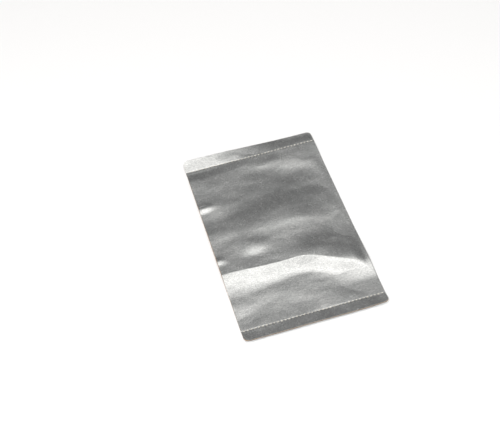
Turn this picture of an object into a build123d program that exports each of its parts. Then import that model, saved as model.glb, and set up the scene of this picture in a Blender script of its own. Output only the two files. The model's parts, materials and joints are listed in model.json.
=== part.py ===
from build123d import *
import math
import os

# Flat pouch for a lithium battery, lying closed on a table.
#
# One strip of two-ply laminate, aluminium foil outside and woven glass cloth inside, is folded in
# half along its right long edge (+X). A row of lock stitch crosses each short end, and the left long
# edge (-X) stays open as the mouth. The front wall swings up about the fold to open the pouch.
#
# Frame: origin at the middle of the footprint, on the surface that the pouch lies on. +Z is up, +X
# points to the fold and +Y points to the far seam. Millimetres.

# --- driving dimensions -------------------------------------------------------------------------
pouch_depth = 120.0          # along X, from the mouth to the fold
pouch_length = 200.0         # along Y, over both seam margins
corner_radius = 4.5          # the four corners are trimmed round
foil = 0.1                   # outer ply
glass_cloth = 0.5            # inner ply
inner_gap = 0.3              # air between the two inner plies where they lie together
rise = 6.5                   # how far the slack front wall bulges above lying flat
mouth_share = 0.75           # share of the bulge that is left at the mouth

near_margin = 10.0           # from the near seam to the near end
far_margin = 12.7            # from the far seam to the far end
stitch_pitch = 3.1
stitch_hole = 0.5            # where the thread dives between two stitches
thread = 0.4                 # thread width, along Y
furrow = 0.3                 # how deep the stitches pull each face in, and the thread's height
furrow_floor = 1.0           # width of the furrow's flat floor
furrow_slope = 0.8           # width of each of its sides
seam_to_wall = 3.5           # from a seam to where the front wall starts to move
clearance = 0.3              # between the moving wall and what stays still

end_ramp = 36.0              # length over which the bulge rises from each seam
fold_ramp = 46.0             # length over which it rises from the fold
mouth_ramp = 50.0            # length over which it sinks towards the mouth
cells_across = 9             # grid of flat triangles that the front wall is made of
cells_along = 18
fold_facets = 8              # flats round the half-round fold

# --- worked-out positions -----------------------------------------------------------------------
laminate = foil + glass_cloth
stack = 2 * laminate + inner_gap             # height where the pouch lies flat
middle = stack / 2                           # level between the two walls
mouth_x = -pouch_depth / 2
fold_x = pouch_depth / 2
fold_axis_x = fold_x - stack / 2             # axis of the half-round fold, and of the hinge
near_y = -pouch_length / 2
far_y = pouch_length / 2
near_seam_y = near_y + near_margin
far_seam_y = far_y - far_margin
wall_near_y = near_seam_y + seam_to_wall
wall_far_y = far_seam_y - seam_to_wall
wall_fold_x = fold_axis_x - clearance
stitch_count = int((fold_axis_x - mouth_x) / stitch_pitch)
first_hole_x = mouth_x + (fold_axis_x - mouth_x - stitch_count * stitch_pitch) / 2


def ease(share):
    """Smooth step from 0 to 1."""
    share = min(max(share, 0.0), 1.0)
    return share * share * (3 - 2 * share)


def bulge(x, y):
    """Height of the front wall above lying flat, at one point of the plan."""
    from_end = min(y - wall_near_y, wall_far_y - y)
    from_fold = wall_fold_x - x
    to_mouth = 1 - (1 - mouth_share) * ease(1 - (x - mouth_x) / mouth_ramp)
    return rise * ease(from_end / end_ramp) * ease(from_fold / fold_ramp) * to_mouth


def along(start, end, steps):
    """Evenly spaced values from start to end, both included."""
    return [start + (end - start) * i / steps for i in range(steps + 1)]


def plan():
    """The pouch's outline with its trimmed corners, taller than the pouch."""
    return extrude(RectangleRounded(pouch_depth, pouch_length, corner_radius), 2 * (stack + rise))


def ply(low, high, start_x, end_x, seams, seam_low, seam_high, start_y, end_y):
    """A flat ply with furrows: it lies from low to high, and from seam_low to seam_high at a seam."""
    def edge(level, seam_level):
        points = [(start_y, level)]
        for seam_y in seams:
            points.append((seam_y - furrow_floor / 2 - furrow_slope, level))
            points.append((seam_y - furrow_floor / 2, seam_level))
            points.append((seam_y + furrow_floor / 2, seam_level))
            points.append((seam_y + furrow_floor / 2 + furrow_slope, level))
        points.append((end_y, level))
        return points
    outline = edge(low, seam_low) + list(reversed(edge(high, seam_high)))
    section = make_face(Polyline([(start_x, y, z) for y, z in outline], close=True))
    return extrude(section, end_x - start_x, dir=(1, 0, 0)) & plan()


def back_foil():
    seams = [near_seam_y, far_seam_y]
    return ply(0, foil, mouth_x, fold_axis_x, seams, furrow, furrow + foil, near_y, far_y)


def back_glass_cloth():
    seams = [near_seam_y, far_seam_y]
    return ply(foil, laminate, mouth_x, fold_axis_x, seams, furrow + foil, middle, near_y, far_y)


def margin_foil(seam_y, start_y, end_y):
    """The front wall's outer ply at one seam, which the stitches hold down."""
    top = stack - furrow
    return ply(stack - foil, stack, mouth_x, fold_axis_x, [seam_y], top - foil, top, start_y, end_y)


def margin_glass_cloth(seam_y, start_y, end_y):
    top = stack - furrow - foil
    return ply(stack - laminate, stack - foil, mouth_x, fold_axis_x, [seam_y], middle, top, start_y, end_y)


def fold_ply(outer, inner):
    """Half a ring about the fold's axis, along the whole pouch, with flat facets."""
    def arc(radius):
        angles = [math.pi * (i / fold_facets - 0.5) for i in range(fold_facets + 1)]
        return [(fold_axis_x + radius * math.cos(t), middle + radius * math.sin(t)) for t in angles]
    outline = arc(outer) + list(reversed(arc(inner)))
    section = make_face(Polyline([(x, near_y, z) for x, z in outline], close=True))
    return extrude(section, pouch_length, dir=(0, 1, 0)) & plan()


def front_wall_ply(low, high):
    """The moving wall between two levels, counted up from the face where its plies meet.

    It is made of flat triangles, because a thin curved ply is hard to mesh to its true volume.
    """
    across = along(mouth_x, wall_fold_x, cells_across)
    lengthwise = along(wall_near_y, wall_far_y, cells_along)

    def corner(i, j, level):
        x, y = across[i], lengthwise[j]
        return (x, y, stack - foil + bulge(x, y) + level)

    def facet(corners):
        return Face(Wire.make_polygon(corners))

    faces = []
    for i in range(cells_across):
        for j in range(cells_along):
            for ends in (((i, j), (i + 1, j), (i + 1, j + 1)), ((i, j), (i + 1, j + 1), (i, j + 1))):
                for level in (low, high):
                    faces.append(facet([corner(a, b, level) for a, b in ends]))
    rim = [((i, j), (i + 1, j)) for i in range(cells_across) for j in (0, cells_along)]
    rim += [((i, j), (i, j + 1)) for j in range(cells_along) for i in (0, cells_across)]
    for (a, b), (c, d) in rim:
        faces.append(facet([corner(a, b, low), corner(c, d, low), corner(c, d, high), corner(a, b, high)]))
    return Solid(Shell(faces))


def lock_stitch(seam_y, face_z, outward):
    """One thread of a seam: bars on a face of the pouch, which dive to its middle at every hole.

    The top and bottom threads are mirror images, and meet at the middle of the laminates.
    """
    bed_z = face_z - outward * furrow
    notch_z = bed_z - outward * foil
    outer = []
    inner = []
    for i in range(stitch_count + 1):
        hole_x = first_hole_x + i * stitch_pitch
        left = hole_x - stitch_hole / 2
        right = hole_x + stitch_hole / 2
        outer += [(hole_x - thread, face_z), (hole_x, notch_z), (hole_x + thread, face_z)]
        inner += [(left, bed_z), (left, middle), (right, middle), (right, bed_z)]
    outline = outer[1:-1] + list(reversed(inner[1:-1]))
    section = make_face(Polyline([(x, seam_y - thread / 2, z) for x, z in outline], close=True))
    return extrude(section, thread, dir=(0, 1, 0))


def main():
    parts = {
        "back_foil": back_foil(),
        "back_glass_cloth": back_glass_cloth(),
        "fold_foil": fold_ply(stack / 2, stack / 2 - foil),
        "fold_glass_cloth": fold_ply(stack / 2 - foil, inner_gap / 2),
        "front_foil": front_wall_ply(0, foil),
        "front_glass_cloth": front_wall_ply(-glass_cloth, 0),
    }
    margins = {
        "near": (near_seam_y, near_y, wall_near_y - clearance),
        "far": (far_seam_y, wall_far_y + clearance, far_y),
    }
    for end, (seam_y, start_y, end_y) in margins.items():
        needle_thread = lock_stitch(seam_y, stack, 1)
        bobbin_thread = lock_stitch(seam_y, 0, -1)
        parts[end + "_margin_foil"] = margin_foil(seam_y, start_y, end_y) - needle_thread
        parts[end + "_margin_glass_cloth"] = margin_glass_cloth(seam_y, start_y, end_y) - needle_thread
        parts["back_foil"] -= bobbin_thread
        parts["back_glass_cloth"] -= bobbin_thread
        parts[end + "_seam_needle_thread"] = needle_thread
        parts[end + "_seam_bobbin_thread"] = bobbin_thread

    os.makedirs("parts", exist_ok=True)
    for name, solid in parts.items():
        solid.label = name
        export_step(solid, os.path.join("parts", name + ".step"))


main()
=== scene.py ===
"""Looks of the lipo safe bag: a creased foil pouch with a glass-cloth lining and two sewn ends.

Lengths in this script are millimetres in the CAD frame: +X to the fold, -X to the mouth, +Y to the
far seam, +Z up from the surface that the pouch lies on. mesh_object() turns them into metres.
"""

import json
import math

import bpy
import numpy as np
from mathutils import Matrix, Vector


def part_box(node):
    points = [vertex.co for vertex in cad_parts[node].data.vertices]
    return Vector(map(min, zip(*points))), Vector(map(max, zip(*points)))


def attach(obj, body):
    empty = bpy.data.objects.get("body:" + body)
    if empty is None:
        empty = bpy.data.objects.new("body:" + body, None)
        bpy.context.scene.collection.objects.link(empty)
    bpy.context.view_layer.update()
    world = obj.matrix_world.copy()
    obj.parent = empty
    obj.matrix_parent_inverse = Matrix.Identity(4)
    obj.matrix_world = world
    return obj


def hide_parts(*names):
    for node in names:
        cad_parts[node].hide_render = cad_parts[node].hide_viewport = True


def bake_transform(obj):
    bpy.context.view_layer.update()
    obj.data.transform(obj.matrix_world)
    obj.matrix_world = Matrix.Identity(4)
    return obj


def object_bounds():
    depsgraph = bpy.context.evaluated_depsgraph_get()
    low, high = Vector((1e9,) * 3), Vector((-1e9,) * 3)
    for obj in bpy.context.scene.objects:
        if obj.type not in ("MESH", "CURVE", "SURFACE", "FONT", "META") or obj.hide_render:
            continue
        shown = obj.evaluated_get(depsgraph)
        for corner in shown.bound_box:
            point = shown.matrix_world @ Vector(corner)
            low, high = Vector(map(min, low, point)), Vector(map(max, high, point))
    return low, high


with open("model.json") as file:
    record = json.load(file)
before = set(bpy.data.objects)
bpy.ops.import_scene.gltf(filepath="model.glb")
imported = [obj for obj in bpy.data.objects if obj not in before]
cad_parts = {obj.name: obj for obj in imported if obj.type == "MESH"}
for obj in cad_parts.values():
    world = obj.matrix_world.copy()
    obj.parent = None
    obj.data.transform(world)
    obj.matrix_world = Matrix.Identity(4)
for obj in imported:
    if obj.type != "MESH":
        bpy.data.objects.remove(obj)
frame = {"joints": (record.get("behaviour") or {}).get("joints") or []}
cad_low, cad_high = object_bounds()

MM = 0.001

# --- sizes read from the frame ------------------------------------------------------------------
hinge = frame["joints"][0]
mouth_x = cad_low.x / MM
fold_x = cad_high.x / MM
near_y = cad_low.y / MM
far_y = cad_high.y / MM
fold_axis_x = hinge["pos_m"][0] / MM
middle = hinge["pos_m"][2] / MM
stack = 2 * middle                       # height of both walls where they lie together


def node_box(node):
    low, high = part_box(node)
    return low / MM, high / MM


near_thread_low, near_thread_high = node_box("near_seam_needle_thread")
far_thread_low, far_thread_high = node_box("far_seam_needle_thread")
near_seam_y = (near_thread_low.y + near_thread_high.y) / 2
far_seam_y = (far_thread_low.y + far_thread_high.y) / 2

# --- sizes of the soft parts --------------------------------------------------------------------
foil = 0.1
glass_cloth = 0.5
corner_radius = 4.5
stitch_count = 38
stub_width = 0.5                         # the CAD threads reach half of this past the end holes
thread_radius = 0.33
furrow_depth = 0.03                      # how far the stitches pull each face in
furrow_reach = 0.8
hole_depth = 0.05
hole_reach = 0.4
under_stitches = 0.45                    # how far the stitches press the glass cloth in
cut_inset = 0.45                         # the glass cloth ends this far inside the foil's cut ends
lip = 0.12                               # how far the shears drag each foil over the glass cloth there
half_air = 0.02                          # half the air between the two glass cloths at a seam
pucker_height = 0.10
pucker_reach = 4.0
pucker_length = 5.0
weave_pitch = 0.8
fine_step = 0.5                          # mesh spacing across the front wall
coarse_step = 1.0                        # mesh spacing of the hidden faces
seam_rows_reach = 1.6                    # the mesh rows are closer this far to each side of a seam
bulge_height = 3.6
near_bend_y = -54.0                      # from here the near end bends up off the table


# --- shaping helpers ----------------------------------------------------------------------------
def ease(share):
    """Smooth step from 0 to 1."""
    share = np.clip(share, 0.0, 1.0)
    return share * share * (3 - 2 * share)


def fall(share):
    """From 0 to 1, steep at first and then ever gentler."""
    share = np.clip(share, 0.0, 1.0)
    return 0.3 * ease(share) + 0.7 * (1 - (1 - share) ** 2)


def lattice_noise(x, y, scale, seed):
    """Smooth value noise from -1 to 1 whose blobs are about scale across."""
    values = np.random.default_rng(seed).uniform(-1, 1, (64, 64))
    turn = 0.6 + seed
    u = (x * math.cos(turn) + y * math.sin(turn)) / scale + 31.7
    v = (y * math.cos(turn) - x * math.sin(turn)) / scale + 17.3
    column = np.floor(u).astype(int)
    row = np.floor(v).astype(int)
    fu = u - column
    fv = v - row
    fu = fu * fu * fu * (fu * (fu * 6 - 15) + 10)
    fv = fv * fv * fv * (fv * (fv * 6 - 15) + 10)

    def pick(i, j):
        return values[(column + i) % 64, (row + j) % 64]

    low = pick(0, 0) * (1 - fu) + pick(1, 0) * fu
    high = pick(0, 1) * (1 - fu) + pick(1, 1) * fu
    return low * (1 - fv) + high * fv


def crumple(x, y, scale, seed):
    """Foil creases: sharp lines between smooth patches, from 0 in the patches to 1 on the lines."""
    return (1 - np.abs(lattice_noise(x, y, scale, seed))) ** 3


# --- the pouch's shape --------------------------------------------------------------------------
def outline(y):
    """The pouch's x limits at each y, where the corners are trimmed round."""
    into_corner = np.maximum(corner_radius - np.minimum(y - near_y, far_y - y), 0.0)
    inset = corner_radius - np.sqrt(np.maximum(corner_radius ** 2 - into_corner ** 2, 0.0))
    return mouth_x + inset, fold_x - inset


def lie(x, y):
    """How far the sewn ends and corners stand off the table: the laminate is springy and never flat."""
    past_near_seam = np.maximum(near_seam_y - y, 0.0)
    past_far_seam = np.maximum(y - far_seam_y, 0.0)
    near_tilt = (0.095 + 0.02 * ease((x + 20) / 60)) * (0.85 + 0.15 * np.cos(x / 9.0))
    near_corner_tilt = 0.08 * ease((x - 42) / 14)
    near_curl = 0.0006 * np.maximum(near_bend_y - y, 0.0) ** 2 + near_tilt * past_near_seam
    near_curl += near_corner_tilt * past_near_seam
    far_left = 0.155 * past_far_seam * ease((28 - x) / 68)
    far_right = (0.7 * ease((y - 55) / 32) - 0.008 * past_far_seam ** 2) * ease((x + 3) / 45)
    far_rise = 0.55 * ease((y - 46) / 40)
    fold_wave = 2.0 * ease((x - 12) / 48) * ease((-10 - y) / 44) * (1 - ease((near_bend_y - y) / 21))
    waves = 0.10 * (1 + lattice_noise(x, y, 38.0, 5))
    return 0.10 + near_curl + far_left + far_right + far_rise + fold_wave + waves


def seam_share(y, reach):
    """1 on either seam line, falling to 0 about reach away."""
    near = np.exp(-((y - near_seam_y) / reach) ** 2)
    far = np.exp(-((y - far_seam_y) / reach) ** 2)
    return near + far


def crest_y(x):
    """The line across the wall where the bulge starts to fall towards the near seam."""
    return -33 - 3 * ease((x + 60) / 50) - 24 * ease((x - 2) / 70)


def fall_width(x):
    """How far across the bulge's steep side is."""
    return 26 - 10 * ease((x + 55) / 50) + 6 * ease((x - 5) / 50)


def bulge(x, y):
    """How far the slack front wall stands above lying flat."""
    across = ease((fold_axis_x - x) / 52) * (1 - 0.3 * ease((-25 - x) / 38))
    rising = 0.12 * ease((far_seam_y - 1 - y) / 14) + 0.88 * ease((68 - y) / 64)
    past_crest = 1 - 0.93 * fall((crest_y(x) - y) / fall_width(x))
    return bulge_height * across * rising * past_crest * ease((y - near_seam_y - 1) / 20)


def facet(x, y, centre, reach, turn, slope):
    """A patch of wall that leans by slope degrees: it rises towards the far end if slope is positive.

    reach is its radius along and across its own long direction, which turn rotates from +X.
    """
    c, s = math.cos(math.radians(turn)), math.sin(math.radians(turn))
    along = ((x - centre[0]) * c + (y - centre[1]) * s) / reach[0]
    across = ((y - centre[1]) * c - (x - centre[0]) * s) / reach[1]
    lean = math.tan(math.radians(slope)) * reach[1]
    return lean * np.tanh(across) * np.exp(-along ** 2 - (across / 3.2) ** 2)


# Placed one by one. Each row is the centre, the reach, the turn and the slope of one patch.
FACETS = (
    ((-35, 62), (17, 7), -28, -1.5),
    ((10, 73), (32, 6), -4, 2.0),
    ((30, 60), (26, 7), -8, 1.5),
    ((-57, 43.5), (7, 2.2), 8, -8.0),
    ((-56, 38), (8, 3.0), 8, 11.0),
    ((20, 49), (9, 3.5), -20, -3.0),
    ((2, 33), (24, 8), 35, -2.0),
    ((-32, 23), (20, 6), 6, -2.5),
    ((-46, 6), (16, 8), 0, 2.0),
    ((50, 8), (15, 5), -10, 2.0),
    ((36, -1), (28, 6), -6, 2.5),
    ((-22, -8), (11, 4), -16, -3.0),
    ((-28, -18), (11, 6), -10, 6.0),
    ((38, -26), (26, 8), -13, -8.0),
    ((50, -59), (20, 6), -18, 12.0),
    ((-59, -16), (4, 2), 0, -6.0),
    ((-58, -21), (5, 2.5), 0, 8.0),
    ((56, 52), (9, 7), 0, 2.5),
    ((53, 69), (9, 4), 0, -2.5),
    ((-42, 50), (24, 16), 0, 3.2),
    ((-52, 30), (22, 9), 0, 6.0),
    ((-55, -72), (12, 8), 0, 3.0),
    ((48, -82), (18, 5), -6, -3.0),
    ((12, -27), (14, 6), -5, -4.0),
)


def dents(x, y):
    """The single dents and creases of the front wall."""
    return sum(facet(x, y, *one) for one in FACETS)


def skin(x, y):
    """Small creases all over the foil, drawn out across the pouch."""
    total = 0.28 * lattice_noise(0.5 * x, y, 16.0, 11)
    total += 0.085 * lattice_noise(0.45 * x, y, 8.0, 2)
    total += 0.020 * lattice_noise(0.4 * x, y, 4.2, 7)
    total += 0.03 * crumple(0.7 * x, y, 11.0, 3)
    total += 0.008 * lattice_noise(0.7 * x, y, 2.2, 4)
    return total


def cut_lip(y):
    """The lip of each foil at the two cut ends."""
    to_end = np.minimum(y - near_y, far_y - y)
    return lip * (to_end < cut_inset)


def puckers(x, y):
    """Ripples that run out of each seam, where the stitches gather the laminate a little."""
    near = np.exp(-np.abs(y - near_seam_y) / pucker_reach)
    far = np.exp(-np.abs(y - far_seam_y) / pucker_reach)
    near_ripple = lattice_noise(x, 0 * y, pucker_length, 21)
    far_ripple = lattice_noise(x, 0 * y + 9, pucker_length, 22)
    return pucker_height * (near * near_ripple + far * far_ripple)


def hole_xs(low, high):
    """Where the needle holes of a seam are."""
    return np.linspace(low.x + stub_width / 2, high.x - stub_width / 2, stitch_count + 1)


near_holes = hole_xs(near_thread_low, near_thread_high)
far_holes = hole_xs(far_thread_low, far_thread_high)


def needle_holes(x, y):
    """Depth of the dimples round the needle holes."""
    depth = np.zeros_like(x)
    for seam_y, holes in ((near_seam_y, near_holes), (far_seam_y, far_holes)):
        pitch = holes[1] - holes[0]
        to_hole = (x - holes[0] + pitch / 2) % pitch - pitch / 2
        inside = (x > holes[0] - pitch / 2) & (x < holes[-1] + pitch / 2)
        distance = (to_hole ** 2 + (y - seam_y) ** 2) / hole_reach ** 2
        depth += hole_depth * inside * np.exp(-distance)
    return depth


def fold_fade(x):
    """0 on the fold, where every face of the pouch has to meet the fold piece, and 1 a little away."""
    return ease((fold_axis_x - x) / 6)


def front_top(x, y):
    """Height of the front wall's outer face."""
    inside = ease((y - near_seam_y) / 12) * ease((far_seam_y - y) / 12) * ease((fold_axis_x - x) / 12)
    soft = bulge(x, y) + dents(x, y) * inside
    soft = np.maximum(soft + skin(x, y) + puckers(x, y), 0.0)
    return lie(x, y) + stack + fold_fade(x) * soft


def front_foil_top(x, y):
    return front_top(x, y) - furrow_depth * seam_share(y, furrow_reach) - needle_holes(x, y)


def front_foil_bottom(x, y):
    return front_foil_top(x, y) - foil - cut_lip(y)


def front_cloth_top(x, y):
    return front_top(x, y) - foil - under_stitches * seam_share(y, furrow_reach)


def front_cloth_bottom(x, y):
    flat = front_top(x, y) - foil - glass_cloth
    gap_share = seam_share(y, furrow_reach)
    return flat * (1 - gap_share) + (lie(x, y) + middle + half_air) * gap_share


def back_bottom(x, y):
    """Height of the back wall's outer face, which lies on the table."""
    return lie(x, y) + furrow_depth * seam_share(y, furrow_reach)


def back_foil_top(x, y):
    return back_bottom(x, y) + foil + cut_lip(y)


def back_cloth_top(x, y):
    gap_share = seam_share(y, furrow_reach)
    flat = lie(x, y) + foil + glass_cloth
    return flat * (1 - gap_share) + (lie(x, y) + middle - half_air) * gap_share


# --- mesh helpers -------------------------------------------------------------------------------
def mesh_object(name, points, faces, smooth=True):
    """A mesh object from points in millimetres."""
    mesh = bpy.data.meshes.new(name)
    mesh.from_pydata((np.asarray(points) * MM).tolist(), [], faces)
    mesh.validate()
    if smooth:
        mesh.shade_smooth()
        mesh.set_sharp_from_angle(angle=math.radians(55))
    piece = bpy.data.objects.new(name, mesh)
    bpy.context.scene.collection.objects.link(piece)
    return piece


def row_places(start, end, step):
    """y of each mesh row: evenly spaced, closer at the seams and round the corners."""
    rows = list(np.arange(math.ceil(start / step) * step, end, step))
    for seam_y in (near_seam_y, far_seam_y):
        rows = [y for y in rows if abs(y - seam_y) > seam_rows_reach]
        rows += list(seam_y + np.linspace(-seam_rows_reach, seam_rows_reach, 15))
    turns = corner_radius * (1 - np.cos(np.linspace(0, math.pi / 2, 12)))
    rows = [y for y in rows if near_y + corner_radius < y < far_y - corner_radius]
    rows += list(near_y + turns)
    rows += list(far_y - turns)
    rows = [y for y in rows if start + step / 4 < y < end - step / 4]
    return np.array(sorted([start] + rows + [end]))


def column_places(step):
    """x of each mesh column as a share of the width: the fine grid is closer at the needle holes."""
    width = fold_axis_x - mouth_x
    if step > fine_step:
        return np.linspace(0, 1, int(round(width / step)) + 1)
    round_hole = np.array([-1.0, -0.45, -0.2, 0.0, 0.2, 0.45, 1.0, 1.55])
    places = (near_holes[:, None] + round_hole).ravel()
    places = places[(places > mouth_x + 0.1) & (places < fold_axis_x - 0.1)]
    return np.concatenate([[0], (places - mouth_x) / width, [1]])


def grid_quads(columns, rows, offset, flip):
    index = np.arange(columns * rows).reshape(columns, rows) + offset
    quads = np.stack([index[:-1, :-1], index[1:, :-1], index[1:, 1:], index[:-1, 1:]], -1).reshape(-1, 4)
    return (quads[:, ::-1] if flip else quads).tolist()


def rim_quads(columns, rows, offset):
    """Faces that join the borders of two equal grids, the second of which starts at offset."""
    index = np.arange(columns * rows).reshape(columns, rows)
    border = np.concatenate([index[:-1, 0], index[-1, :-1], index[:0:-1, -1], index[0, :0:-1]])
    following = np.roll(border, -1)
    return np.stack([border, border + offset, following + offset, following], -1).tolist()


def wall(name, top, bottom, start_y, end_y, step):
    """A closed thin shell between two height functions, over the plan of the pouch."""
    y = row_places(start_y, end_y, step)
    left, right = outline(y)
    right = np.minimum(right, fold_axis_x)
    share = column_places(step)[:, None]
    x = left + (right - left) * share
    y = np.broadcast_to(y, x.shape)
    upper = np.stack([x, y, top(x, y)], -1).reshape(-1, 3)
    lower = np.stack([x, y, bottom(x, y)], -1).reshape(-1, 3)
    columns, rows = x.shape
    faces = grid_quads(columns, rows, 0, False)
    faces += grid_quads(columns, rows, columns * rows, True)
    faces += rim_quads(columns, rows, columns * rows)
    return mesh_object(name, np.concatenate([upper, lower]), faces)


def fold_ply(name, outer, inner):
    """A half ring about the fold, which shrinks to nothing where the corners are trimmed."""
    y = row_places(near_y, far_y, fine_step)
    right = outline(y)[1]
    y = y[right > fold_axis_x]
    depth = (outline(y)[1] - fold_axis_x) / (fold_x - fold_axis_x)
    angles = np.linspace(math.pi / 2, -math.pi / 2, 13)[:, None]
    base = lie(np.full_like(y, fold_axis_x), y) + middle
    points = []
    for radius in (outer, inner):
        x = fold_axis_x + radius * np.cos(angles) * depth
        z = base + radius * np.sin(angles)
        points.append(np.stack([x, np.broadcast_to(y, x.shape), z], -1).reshape(-1, 3))
    columns, rows = len(angles), len(y)
    faces = grid_quads(columns, rows, 0, False)
    faces += grid_quads(columns, rows, columns * rows, True)
    faces += rim_quads(columns, rows, columns * rows)
    return mesh_object(name, np.concatenate(points), faces)


def seam_stitches(name, seam_y, holes, surface, outward):
    """A row of lock stitches: two twisted strands that arch from each needle hole to the next."""
    rings = 23
    sides = 7
    turns = 2.5
    strand_radius = thread_radius * 0.62
    strand_offset = thread_radius * 0.5
    jitter = np.random.default_rng(int(abs(seam_y) * 10) + (1 if outward > 0 else 2))
    points, faces = [], []
    for left, right in zip(holes[:-1], holes[1:]):
        share = np.linspace(0, 1, rings)
        x = left + (right - left) * share
        y = seam_y + jitter.uniform(-0.06, 0.06) * np.sin(share * math.pi) + 0 * x
        base = surface(x, np.full_like(x, seam_y))
        level = np.median(base[6:-6])
        lift = thread_radius * np.clip(9 * np.sin(share * math.pi) - 6.8, -2.4, 1.0)
        z = 0.5 * (base + level) + outward * lift
        for strand in (0, 1):
            twist = share * turns * 2 * math.pi + strand * math.pi + jitter.uniform(0, 6.28)
            squeeze = np.sin(share * math.pi) ** 0.3 * 0.5 + 0.5
            centre_y = y + strand_offset * squeeze * np.cos(twist)
            centre_z = z + strand_offset * squeeze * np.sin(twist)
            first = len(points)
            for ring in range(rings):
                for side in range(sides):
                    angle = 2 * math.pi * side / sides
                    radius = strand_radius * (0.8 + 0.2 * squeeze[ring])
                    points.append((x[ring], centre_y[ring] + radius * math.cos(angle),
                                   centre_z[ring] + radius * math.sin(angle)))
            for ring in range(rings - 1):
                for side in range(sides):
                    a = first + ring * sides + side
                    b = first + ring * sides + (side + 1) % sides
                    faces.append((a, a + sides, b + sides, b))
            faces.append([first + side for side in range(sides)])
            last = first + (rings - 1) * sides
            faces.append([last + side for side in reversed(range(sides))])
    return mesh_object(name, points, faces)


# --- materials ----------------------------------------------------------------------------------
class Nodes:
    """Short calls for building a material's node tree."""

    def __init__(self, name):
        self.material = bpy.data.materials.new(name)
        self.material.use_nodes = True
        self.tree = self.material.node_tree
        self.shader = self.tree.nodes["Principled BSDF"]

    def add(self, kind, inputs=(), **settings):
        node = self.tree.nodes.new(kind)
        for key, value in settings.items():
            setattr(node, key, value)
        for key, value in dict(inputs).items():
            self.put(node.inputs[key], value)
        return node

    def put(self, socket, value):
        if isinstance(value, bpy.types.NodeSocket):
            self.tree.links.new(value, socket)
        else:
            socket.default_value = value

    def math(self, operation, a, b=0.0, clamp=False):
        node = self.add("ShaderNodeMath", {0: a, 1: b}, operation=operation, use_clamp=clamp)
        return node.outputs[0]

    def noise(self, place, per_mm, detail=2.0, roughness=0.5):
        inputs = {"Vector": place, "Scale": per_mm / MM, "Detail": detail, "Roughness": roughness}
        return self.add("ShaderNodeTexNoise", inputs).outputs["Fac"]

    def spread(self, value, low, high, to_low, to_high):
        inputs = {"Value": value, "From Min": low, "From Max": high, "To Min": to_low, "To Max": to_high}
        return self.add("ShaderNodeMapRange", inputs).outputs["Result"]

    def mix(self, share, first, second):
        node = self.add("ShaderNodeMix", data_type="RGBA")
        self.put(node.inputs[0], share)
        self.put(node.inputs[6], first)
        self.put(node.inputs[7], second)
        return node.outputs[2]

    def bump(self, height, strength, distance_mm, under=None):
        inputs = {"Height": height, "Strength": strength, "Distance": distance_mm * MM}
        if under is not None:
            inputs["Normal"] = under
        return self.add("ShaderNodeBump", inputs).outputs["Normal"]


def weave_height(nodes, x, y):
    """Plain weave: threads of one direction pass over and under those of the other."""
    turn = math.pi / (weave_pitch * MM)
    wave_x = nodes.math("SINE", nodes.math("MULTIPLY", x, turn))
    wave_y = nodes.math("SINE", nodes.math("MULTIPLY", y, turn))
    thread_x = nodes.math("ABSOLUTE", wave_x)
    thread_y = nodes.math("ABSOLUTE", wave_y)
    over = nodes.spread(nodes.math("MULTIPLY", wave_x, wave_y), -0.35, 0.35, 0.0, 1.0)
    first = nodes.math("MULTIPLY", thread_x, over)
    second = nodes.math("MULTIPLY", thread_y, nodes.math("SUBTRACT", 1.0, over))
    return nodes.math("ADD", first, second)


def foil_material():
    nodes = Nodes("satin_foil")
    place = nodes.add("ShaderNodeTexCoord").outputs["Object"]
    parts = nodes.add("ShaderNodeSeparateXYZ", {0: place}).outputs
    grain = nodes.noise(place, 2.6, 3.0, 0.65)
    drawn_x = nodes.math("MULTIPLY", parts[0], 0.55)
    drawn = nodes.add("ShaderNodeCombineXYZ", {0: drawn_x, 1: parts[1], 2: parts[2]}).outputs[0]
    pebble = nodes.noise(drawn, 1.1, 3.0, 0.7)
    cloud = nodes.noise(place, 0.045, 3.0, 0.6)
    smear = nodes.noise(place, 0.2, 4.0, 0.6)
    print_through = weave_height(nodes, parts[0], parts[1])
    cloudy = nodes.spread(cloud, 0.3, 0.7, 0.0, 1.0)
    tone = nodes.mix(cloudy, (0.80, 0.82, 0.81, 1), (0.92, 0.93, 0.92, 1))
    tone = nodes.mix(nodes.spread(grain, 0.35, 0.75, 0.0, 0.30), tone, (0.42, 0.43, 0.43, 1))
    tone = nodes.mix(nodes.spread(pebble, 0.36, 0.64, 0.0, 0.55), tone, (0.48, 0.49, 0.49, 1))
    nodes.put(nodes.shader.inputs["Base Color"], tone)
    nodes.put(nodes.shader.inputs["Metallic"], 1.0)
    smeared = nodes.spread(smear, 0.3, 0.7, 0.18, 0.26)
    grainy = nodes.spread(grain, 0.3, 0.7, -0.02, 0.05)
    nodes.put(nodes.shader.inputs["Roughness"], nodes.math("ADD", smeared, grainy))
    woven = nodes.bump(pebble, 1.0, 0.05, nodes.bump(print_through, 0.6, 0.035))
    nodes.put(nodes.shader.inputs["Normal"], nodes.bump(grain, 0.2, 0.04, woven))
    return nodes.material


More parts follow.
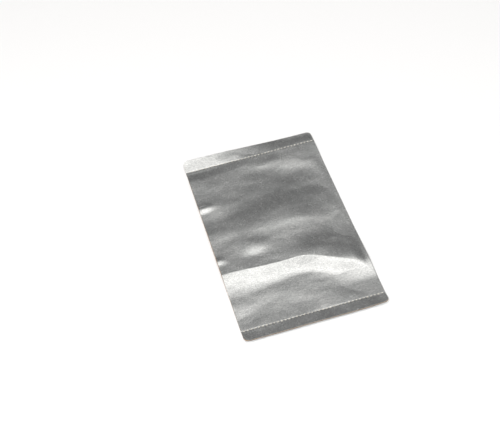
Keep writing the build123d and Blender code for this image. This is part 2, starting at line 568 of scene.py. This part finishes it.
def cloth_material():
    nodes = Nodes("glass_cloth")
    place = nodes.add("ShaderNodeTexCoord").outputs["Object"]
    parts = nodes.add("ShaderNodeSeparateXYZ", {0: place}).outputs
    weave = weave_height(nodes, parts[0], parts[1])
    patches = nodes.noise(place, 0.05, 3.0, 0.6)
    fibres = nodes.noise(place, 5.0, 2.0, 0.7)
    tan = nodes.mix(nodes.spread(patches, 0.3, 0.7, 0.0, 1.0), (0.34, 0.185, 0.085, 1), (0.52, 0.33, 0.17, 1))
    # painted shade: darker brown in the low places of the weave, between and under the threads
    tan = nodes.mix(nodes.spread(weave, 0.05, 0.7, 0.65, 0.0), tan, (0.13, 0.07, 0.035, 1))
    tan = nodes.mix(nodes.spread(fibres, 0.4, 0.8, 0.0, 0.35), tan, (0.75, 0.58, 0.38, 1))
    nodes.put(nodes.shader.inputs["Base Color"], tan)
    nodes.put(nodes.shader.inputs["Roughness"], nodes.spread(fibres, 0.2, 0.8, 0.5, 0.75))
    nodes.put(nodes.shader.inputs["Sheen Weight"], 0.3)
    coarse = nodes.bump(weave, 0.8, 0.18)
    nodes.put(nodes.shader.inputs["Normal"], nodes.bump(fibres, 0.3, 0.04, coarse))
    return nodes.material


def thread_material():
    nodes = Nodes("cream_thread")
    place = nodes.add("ShaderNodeTexCoord").outputs["Object"]
    fuzz = nodes.noise(place, 9.0, 2.0, 0.6)
    lengths = nodes.noise(place, 0.4, 2.0, 0.5)
    cream = nodes.mix(nodes.spread(lengths, 0.3, 0.7, 0.0, 1.0), (0.80, 0.77, 0.69, 1), (0.92, 0.90, 0.83, 1))
    cream = nodes.mix(nodes.spread(fuzz, 0.35, 0.75, 0.3, 0.0), cream, (0.60, 0.54, 0.43, 1))
    nodes.put(nodes.shader.inputs["Base Color"], cream)
    nodes.put(nodes.shader.inputs["Roughness"], nodes.spread(fuzz, 0.2, 0.8, 0.6, 0.85))
    nodes.put(nodes.shader.inputs["Sheen Weight"], 0.4)
    nodes.put(nodes.shader.inputs["Normal"], nodes.bump(fuzz, 0.5, 0.03))
    return nodes.material


def floor_material():
    nodes = Nodes("pale_floor")
    nodes.put(nodes.shader.inputs["Base Color"], (0.93, 0.93, 0.93, 1))
    nodes.put(nodes.shader.inputs["Roughness"], 0.9)
    nodes.put(nodes.shader.inputs["Specular IOR Level"], 0.1)
    return nodes.material


# --- pieces -------------------------------------------------------------------------------------
def finish_piece(piece, material, slot, *nodes):
    piece.data.materials.append(material)
    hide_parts(*nodes)


def bend_half(piece):
    """Bakes the half wall's placement into its mesh."""
    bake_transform(piece)


foil_finish = foil_material()
cloth_finish = cloth_material()
thread_finish = thread_material()

for end, start_y, end_y, seam_y, inward in (
    ("near", near_y, 0.0, near_seam_y, 1),
    ("far", 0.0, far_y, far_seam_y, -1),
):
    foil_half = wall("front_foil_" + end, front_foil_top, front_foil_bottom, start_y, end_y, fine_step)
    finish_piece(foil_half, foil_finish, "foil", "front_foil", end + "_margin_foil")
    bend_half(foil_half)
    cloth_half = wall("front_cloth_" + end, front_cloth_top, front_cloth_bottom,
                      max(start_y, near_y + cut_inset), min(end_y, far_y - cut_inset), coarse_step)
    finish_piece(cloth_half, cloth_finish, "glass_cloth", "front_glass_cloth", end + "_margin_glass_cloth")
    bend_half(cloth_half)

back_foil = wall("back_foil_skin", back_foil_top, back_bottom, near_y, far_y, coarse_step)
finish_piece(back_foil, foil_finish, "foil", "back_foil")
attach(back_foil, "pouch")
back_cloth = wall("back_cloth", back_cloth_top, back_foil_top,
                  near_y + cut_inset, far_y - cut_inset, coarse_step)
finish_piece(back_cloth, cloth_finish, "glass_cloth", "back_glass_cloth")
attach(back_cloth, "pouch")

fold_foil = fold_ply("fold_foil_edge", middle, middle - foil)
finish_piece(fold_foil, foil_finish, "foil", "fold_foil")
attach(fold_foil, "pouch")
fold_cloth = fold_ply("fold_cloth_edge", middle - foil, middle - foil - glass_cloth)
finish_piece(fold_cloth, cloth_finish, "glass_cloth", "fold_glass_cloth")
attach(fold_cloth, "pouch")

for end, seam_y, holes in (("near", near_seam_y, near_holes), ("far", far_seam_y, far_holes)):
    needle = seam_stitches(end + "_needle_stitches", seam_y, holes, front_foil_top, 1)
    finish_piece(needle, thread_finish, "thread", end + "_seam_needle_thread")
    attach(needle, "pouch")
    bobbin = seam_stitches(end + "_bobbin_stitches", seam_y, holes, back_bottom, -1)
    finish_piece(bobbin, thread_finish, "thread", end + "_seam_bobbin_thread")
    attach(bobbin, "pouch")


# --- stage --------------------------------------------------------------------------------------
def add_floor():
    floor = mesh_object("floor", [(-3000, -3000, 0), (3000, -3000, 0), (3000, 3000, 0), (-3000, 3000, 0)],
                        [(0, 1, 2, 3)], smooth=False)
    floor.data.materials.append(floor_material())


def add_world():
    """A studio dome: bright high up, dark at mid height, paler at the horizon and straight overhead."""
    world = bpy.data.worlds.new("studio")
    bpy.context.scene.world = world
    world.use_nodes = True
    tree = world.node_tree
    place = tree.nodes.new("ShaderNodeTexCoord")
    split = tree.nodes.new("ShaderNodeSeparateXYZ")
    shade = tree.nodes.new("ShaderNodeValToRGB")
    tree.links.new(place.outputs["Generated"], split.inputs[0])
    tree.links.new(split.outputs[2], shade.inputs[0])
    tree.links.new(shade.outputs[0], tree.nodes["Background"].inputs[0])
    levels = {0.0: 0.80, 0.20: 0.95, 0.34: 0.45, 0.50: 0.12, 0.62: 0.12, 0.70: 0.29, 0.80: 0.345, 0.84: 0.46,
              0.90: 1.35, 0.95: 1.75, 0.98: 1.5, 1.0: 0.35}
    stops = shade.color_ramp.elements
    stops.remove(stops[1])
    for height, level in levels.items():
        stop = stops.new(height) if height else stops[0]
        warmth = 0.04 * min(level, 1.0)
        stop.color = (level, level * (1 - warmth / 2), level * (1 - warmth), 1)


def add_softbox(name, target, direction, distance, size, watts):
    lamp = bpy.data.lights.new(name, "AREA")
    lamp.shape = "RECTANGLE"
    lamp.size, lamp.size_y = size
    lamp.energy = watts
    holder = bpy.data.objects.new(name, lamp)
    bpy.context.scene.collection.objects.link(holder)
    away = Vector(direction).normalized()
    holder.location = Vector(target) + away * distance
    holder.rotation_euler = away.to_track_quat("Z", "Y").to_euler()
    holder.visible_glossy = False        # the foil doesn't mirror the lamp


def add_camera(target, azimuth, elevation, roll, distance, lens):
    """Azimuth 0 looks along +Y, and a negative roll lowers the camera's right side."""
    camera = bpy.data.objects.new("camera", bpy.data.cameras.new("camera"))
    bpy.context.scene.collection.objects.link(camera)
    bpy.context.scene.camera = camera
    camera.data.lens = lens
    camera.data.clip_start = 0.01
    a, e = math.radians(azimuth), math.radians(elevation)
    back = Vector((math.sin(a) * math.cos(e), -math.cos(a) * math.cos(e), math.sin(e)))
    turn = back.to_track_quat("Z", "Y").to_matrix().to_4x4()
    spin = Matrix.Rotation(math.radians(roll), 4, "Z")
    camera.matrix_world = Matrix.Translation(Vector(target) + back * distance) @ turn @ spin


add_floor()
add_world()
add_softbox("key", (0, 0, 0), (-0.25, -0.5, 1), 1.4, (1.2, 1.2), 16.2)
add_camera((-0.0208, 0.0190, 0.0016), -12.4, 50.2, -5.2, 0.866, 73.1)
bpy.context.scene.view_settings.view_transform = "Standard"
